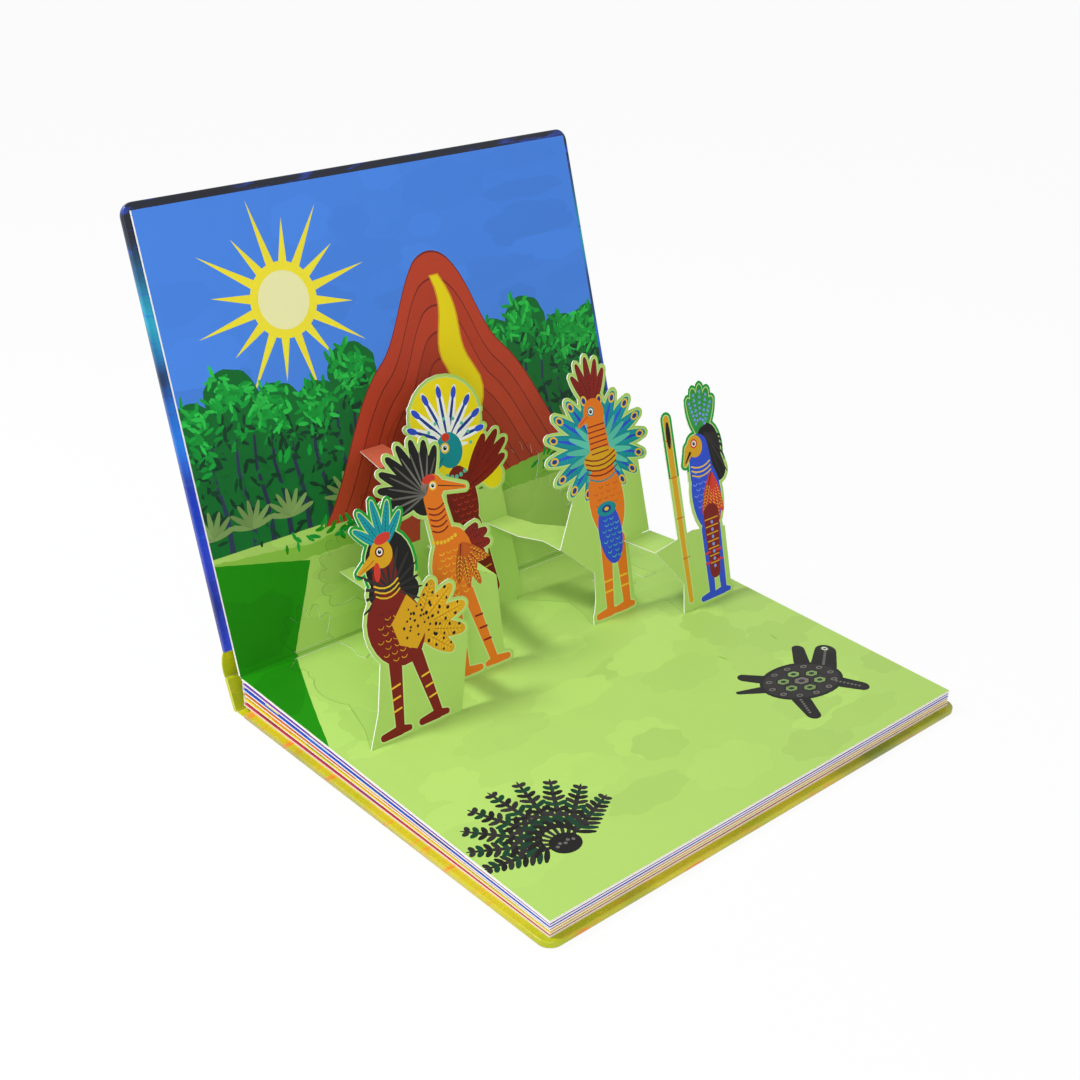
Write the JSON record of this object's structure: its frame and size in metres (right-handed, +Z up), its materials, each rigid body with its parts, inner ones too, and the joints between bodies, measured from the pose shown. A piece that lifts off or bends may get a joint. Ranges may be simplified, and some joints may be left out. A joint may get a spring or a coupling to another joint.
{
  "type": "pop-up book",
  "caption": "Hardback pop-up picture book, open with the front cover leaning back and paper birds standing across the gutter.",
  "frame": {"origin": "middle of the back cover's underside", "axes": "+X along the gutter, +Y from the fore-edge to the spine, +Z up"},
  "size_m": [0.247, 0.2715, 0.217],
  "materials": {
    "paper": "matte",
    "green_print": "satin",
    "dark_green_print": "satin",
    "sky_print": "satin",
    "yellow_print": "satin",
    "brick_print": "satin",
    "black_print": "satin",
    "teal_print": "satin",
    "blue_print": "satin",
    "maroon_print": "satin",
    "ochre_print": "satin",
    "orange_print": "satin",
    "white_print": "satin",
    "front_cover_board": "gloss",
    "back_cover_board": "gloss",
    "spine_board": "gloss"
  },
  "bodies": {
    "base": {"back_cover": "back_cover_board", "cockatoo_body": "maroon_print", "cockatoo_card": "green_print", "cockatoo_crest": "white_print", "cockatoo_ground": "yellow_print", "cockatoo_head": "teal_print", "crane_body": "orange_print", "crane_card": "green_print", "crane_crown": "black_print", "crane_tail": "maroon_print", "fern_print": "black_print", "lower_shade_print": "dark_green_print", "lower_sheet": "green_print", "macaw_body": "blue_print", "macaw_card": "green_print", "macaw_crest": "dark_green_print", "macaw_face": "ochre_print", "macaw_mane": "black_print", "macaw_reed": "ochre_print", "macaw_tail": "maroon_print", "page_block": "paper", "peacock_apron": "blue_print", "peacock_body": "orange_print", "peacock_card": "green_print", "peacock_crest": "maroon_print", "peacock_fan": "teal_print", "rooster_body": "maroon_print", "rooster_card": "green_print", "rooster_crest": "teal_print", "rooster_face": "ochre_print", "rooster_mane": "black_print", "rooster_tail": "ochre_print", "tortoise_print": "black_print"},
    "front_cover": {"front_cover": "front_cover_board", "front_hinge_strip": "spine_board", "hill_path_print": "yellow_print", "hill_print": "brick_print", "left_trees_print": "dark_green_print", "right_trees_print": "dark_green_print", "sky_print": "sky_print", "sun_print": "yellow_print", "upper_page": "paper", "upper_shade_print": "dark_green_print", "upper_sheet": "green_print"},
    "spine": {"spine_board": "spine_board"}
  },
  "joints": [
    {"name": "front_cover_fold", "type": "hinge", "parent": "base", "child": "front_cover", "pos_m": [0, 0.10425, 0.0175], "axis": [-1, 0, 0], "range_deg": [-106.5, 72], "deforming": ["cockatoo_body", "cockatoo_card", "cockatoo_crest", "cockatoo_ground", "cockatoo_head", "crane_body", "crane_card", "crane_crown", "crane_tail", "macaw_body", "macaw_card", "macaw_crest", "macaw_face", "macaw_mane", "macaw_reed", "macaw_tail", "peacock_apron", "peacock_body", "peacock_card", "peacock_crest", "peacock_fan", "rooster_body", "rooster_card", "rooster_crest", "rooster_face", "rooster_mane", "rooster_tail", "front_hinge_strip"]},
    {"name": "spine_fold", "type": "hinge", "parent": "base", "child": "spine", "pos_m": [0, 0.10595, 0.0012], "axis": [-1, 0, 0], "range_deg": [-22, 14.9]}
  ],
  "couplings": [
    {"joint": "spine_fold", "follows": "front_cover_fold", "ratio": 0.2066}
  ]
}
